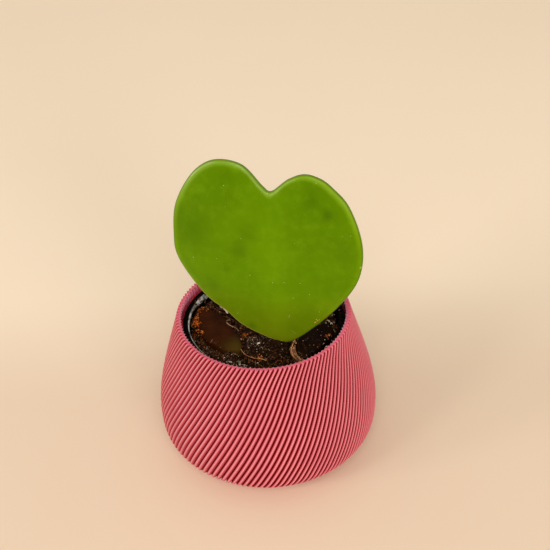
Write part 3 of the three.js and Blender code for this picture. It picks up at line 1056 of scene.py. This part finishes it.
def crumbTree(name, heaped):
    # one crumb on each point that is given, or on points scattered over the surface that is given
    board, given = shapeTree(name, sowingInputs)
    if heaped:
        points = board.form("MeshToPoints", {"Mesh": given["Surface"]})
    else:
        points = scatter(board, given)
    crumb = board.form("MeshIcoSphere", {"Radius": 0.5, "Subdivisions": 1})
    seed, size = given["Seed"], given["Size"]
    spin = board.chance((0, 0, 0), (6.28, 6.28, 6.28), board.plus(seed, 1), "FLOAT_VECTOR")
    stretch = board.chance((0.35, 0.35, 0.3), (1.25, 1.0, 0.8), board.plus(seed, 2), "FLOAT_VECTOR")
    placed = board.form("InstanceOnPoints", {
        "Points": points, "Instance": crumb, "Rotation": spin, "Scale": board.scaled(stretch, size),
    })
    whole = board.form("RealizeInstances", {"Geometry": shadeEach(board, placed, seed)})
    push = board.shaken(1900.0, 1.0, board.times(size, 0.9))
    lifted = board.vectors("ADD", push, board.combine(0.0, 0.0, given["Lift"]))
    ragged = board.form("SetPosition", {"Geometry": whole, "Offset": lifted})
    return finishTree(board, ragged, given["Material"])


def fibreTree():
    board, given = shapeTree("scatteredFibres", sowingInputs)
    strands = board.add("GeometryNodeJoinGeometry")
    for bend, rise in ((0.35, 0.05), (-0.5, 0.12), (0.15, 0.22)):
        curve = board.form("CurveQuadraticBezier", {
            "Resolution": 6, "Start": (-0.5, 0, 0), "Middle": (0, bend, rise), "End": (0.5, 0.1, 0),
        })
        strand = tube(board, curve, 4, 0.016)
        board.feed(strands.inputs[0], board.form("GeometryToInstance", {"Geometry": strand}))
    seed = given["Seed"]
    spin = board.chance((-0.25, -0.25, 0), (0.25, 0.25, 6.28), board.plus(seed, 1), "FLOAT_VECTOR")
    length = board.times(given["Size"], board.chance(0.4, 1.2, board.plus(seed, 2)))
    placed = board.form("InstanceOnPoints", {
        "Points": scatter(board, given), "Instance": strands.outputs[0], "Pick Instance": True,
        "Rotation": spin, "Scale": board.combine(length, length, length),
    })
    lifted = board.form("TranslateInstances", {
        "Instances": shadeEach(board, placed, seed),
        "Translation": board.combine(0.0, 0.0, given["Lift"]), "Local Space": False,
    })
    return finishTree(board, lifted, given["Material"])


def tube(board, curve, sides, radius):
    ring = board.form("CurvePrimitiveCircle", {"Resolution": sides, "Radius": radius})
    return board.form("CurveToMesh", {"Curve": curve, "Profile Curve": ring, "Fill Caps": True})


def rootTree():
    # a round strand along a path of points
    inputs = {"Path": "Geometry", "Radius": "Float", "Material": "Material"}
    board, given = shapeTree("strandAlongPath", inputs)
    path = board.form("MeshToCurve", {"Mesh": given["Path"]})
    soft = board.form("CurveSplineType", {"Curve": path}, spline_type="CATMULL_ROM")
    even = board.form("ResampleCurve", {"Curve": soft, "Count": 32})
    push = board.shaken(900.0, 2.0, board.times(given["Radius"], 2.5))
    rough = board.form("SetPosition", {"Geometry": even, "Offset": push})
    return finishTree(board, tube(board, rough, 8, given["Radius"]), given["Material"])


def crumbFinish(name, look, roughness):
    material, board = newFinish(name)
    place = board.place()
    grain = board.range(board.speckle(place, 1600), 0.3, 0.7)
    own = board.math("POWER", board.number("shade"), look["curve"])
    share = board.plus(board.times(own, 0.85), board.times(grain, 0.15))
    return finished(material, board, {
        "Base Color": board.mix(share, look["low"], look["high"]),
        "Roughness": roughness,
        "Normal": board.raised(board.speckle(place, 2600), 0.5, 0.08),
        **warm(0.2),
    })


def sow(tree, name, sowing, grounds):
    # joins copies of the grounds into one bed, scatters over it, and keeps only what was scattered
    beds = [addObject(name, ground.data.copy()) for ground in grounds]
    if len(beds) > 1:
        with bpy.context.temp_override(active_object=beds[0], selected_editable_objects=beds):
            bpy.ops.object.join()
    look = crumbs[sowing["look"]]
    return grow(beds[0], tree, {
        "Share": sowing.get("share", "crumbShare"),
        "Density": look["density"] / (mm * mm),
        "Size": look["size"] * mm,
        "Lift": sowing.get("lift", 0) * mm,
        "Seed": look["seed"],
        "Material": crumbFinish(name + "Finish", look, sowing["roughness"]),
    })


def landings(starts, heading, grounds):
    # the points where the starts, sent along the heading, meet the grounds
    trees = [BVHTree.FromPolygons([corner.co for corner in ground.data.vertices],
                                  [face.vertices for face in ground.data.polygons]) for ground in grounds]
    points = []
    for start in starts:
        hits = [tree.ray_cast(start * mm, heading) for tree in trees]
        hits = [hit for hit in hits if hit[0]]
        if hits:
            points.append(min(hits, key=lambda hit: hit[3])[0] / mm)
    return points


def heap(tree, name, points, look, roughness):
    return grow(makePiece(name, points), tree, {
        "Size": look["size"] * mm, "Lift": heapLift * mm, "Seed": look["seed"] + 100,
        "Material": crumbFinish(name + "Finish", look, roughness),
    })


def heapStarts(places, seed):
    chance = Random(seed)
    return [Vector((chance.gauss(x, spread), chance.gauss(y, spread), dropFrom))
            for x, y, spread, count in places for n in range(count)]


def layRoot(tree, name, root):
    # strands along the root's path, each a little beside it
    chance = Random(len(name))
    points, edges, shades = [], [], []
    for strand in range(root["strands"]):
        stray = Vector([chance.uniform(-spread, spread) for spread in root["spread"]])
        edges += [(len(points) + n, len(points) + n + 1) for n in range(len(root["path"]) - 1)]
        points += [Vector(place) + stray for place in root["path"]]
        shades += [chance.random() for place in root["path"]]
    return grow(makePiece(name, points, edges=edges, attributes={"shade": shades}), tree, {
        "Radius": root["radius"] * mm, "Material": crumbFinish(name + "Finish", root, rootRoughness),
    })


scattering, heaping = crumbTree("scatteredCrumbs", False), crumbTree("heapedCrumbs", True)
stranding, rooting = fibreTree(), rootTree()
allHusks = list(huskPieces.values())
beddings = {"soil": [soilPiece], "leftHusk": allHusks[:1], "otherHusks": allHusks[1:], "allHusks": allHusks}
for sownName, sowing in sowings.items():
    tree = stranding if sownName == "coirFibres" else scattering
    settle(sow(tree, sownName, sowing, beddings[sowing["over"]]), sowing["slot"])
rootPieces = []
for rootName, root in roots.items():
    rootPieces.append(layRoot(rooting, rootName, root))
    settle(rootPieces[-1], "potting_soil")
for lookName, places in heaps.items():
    landed = landings(heapStarts(places, crumbs[lookName]["seed"]), Vector((0, 0, -1)),
                      [soilPiece, potPiece, *allHusks, *rootPieces])
    settle(heap(heaping, lookName + "Heaps", landed, crumbs[lookName], 0.6), "potting_soil")
for pieceName, places, lookName in (("leafDust", dustPlaces, "dust"), ("leafGrit", gritPlaces, "grit")):
    starts = [onBlade(across, up, dustFrom) for across, up in places]
    landed = landings(starts, -bladeFrame()[2], [leafPiece])
    settle(heap(heaping, pieceName, landed, crumbs[lookName], 0.5), "leaf")


# Studio: pale floor, soft lights and the camera

studio = {
    "floorHalf": 1800,
    "floorTone": "#efdbc4",
    # painted light: the floor is painted lighter towards the back
    "farPaintedLight": "#ffefd9",
    "faintTone": "#e3ceb4",
    "worldTone": "#fff3e4",
    "worldStrength": 0.53,
    "softboxes": {  # turn: degrees about the upright axis, from the right side towards the back
        "leftFront": {"turn": 217, "elevation": 30, "size": 500, "watts": 6.6, "tone": "#fffaf2"},
        "left": {"turn": 200, "elevation": 15, "size": 500, "watts": 9.2, "tone": "#fff8ee"},
        "front": {"turn": 270, "elevation": 45, "size": 1200, "watts": 17.6, "tone": "#fff9f0"},
        "low": {"turn": 295, "elevation": 15, "size": 900, "watts": 14.4, "tone": "#fff8ee"},
    },
    "softboxDistance": 2200,
    "aimHeight": 50,
}

camera = {
    "place": (4.936, -292.998, 302.339),
    "elevation": 37.604,  # degrees that it looks down
    "roll": 2.8,
    "lens": 67.346,
    "sensor": 36,
}


def makeFloor():
    half = studio["floorHalf"]
    corners = [(-half, -half, 0), (half, -half, 0), (half, half, 0), (-half, half, 0)]
    material, board = newFinish("paleFloor")
    place = board.place()
    faint = board.range(board.speckle(place, 6, 2), 0.3, 0.7, 0.0, 0.06)
    # painted light: lighter towards the back
    far = board.range(board.split(place)[1], 15 * mm, 95 * mm, kind="SMOOTHSTEP")
    plain = board.mix(far, studio["floorTone"], studio["farPaintedLight"])
    finished(material, board, {
        "Base Color": board.mix(faint, plain, studio["faintTone"]),
        "Roughness": 0.9,
        "Specular IOR Level": 0.1,
    })
    floor = makePiece("floor", corners, [(0, 1, 2, 3)], material=material)


def makeSoftbox(name, box):
    turn, rise = math.radians(box["turn"]), math.radians(box["elevation"])
    toLight = Vector((math.cos(turn) * math.cos(rise), math.sin(turn) * math.cos(rise), math.sin(rise)))
    light = bpy.data.lights.new(name, "AREA")
    light.shape = "DISK"
    light.size = box["size"] * mm
    light.energy = box["watts"]
    light.color = tone(box["tone"])[:3]
    holder = addObject(name, light)
    holder.location = (toLight * studio["softboxDistance"] + Vector((0, 0, studio["aimHeight"]))) * mm
    holder.rotation_euler = toLight.to_track_quat("Z", "Y").to_euler()


def makeWorld():
    world = bpy.data.worlds.new("studioAir")
    world.use_nodes = True
    background = world.node_tree.nodes["Background"]
    background.inputs["Color"].default_value = tone(studio["worldTone"])
    background.inputs["Strength"].default_value = studio["worldStrength"]
    bpy.context.scene.world = world


def makeCamera():
    elevation, roll = math.radians(camera["elevation"]), math.radians(camera["roll"])
    ahead = Vector((0, math.cos(elevation), -math.sin(elevation)))
    level, rising = Vector((1, 0, 0)), Vector((0, math.sin(elevation), math.cos(elevation)))
    right = level * math.cos(roll) - rising * math.sin(roll)
    up = level * math.sin(roll) + rising * math.cos(roll)
    turn = Matrix((right, up, -ahead)).transposed().to_4x4()
    lens = bpy.data.cameras.new("photoView")
    lens.lens = camera["lens"]
    lens.sensor_width = camera["sensor"]
    lens.clip_start, lens.clip_end = 0.01, 20
    holder = addObject("photoView", lens)
    holder.matrix_world = Matrix.Translation(Vector(camera["place"]) * mm) @ turn
    bpy.context.scene.camera = holder


makeFloor()
makeWorld()
for boxName, box in studio["softboxes"].items():
    makeSoftbox(boxName, box)
makeCamera()
bpy.context.scene.view_settings.view_transform = "Standard"
print("studio is set")
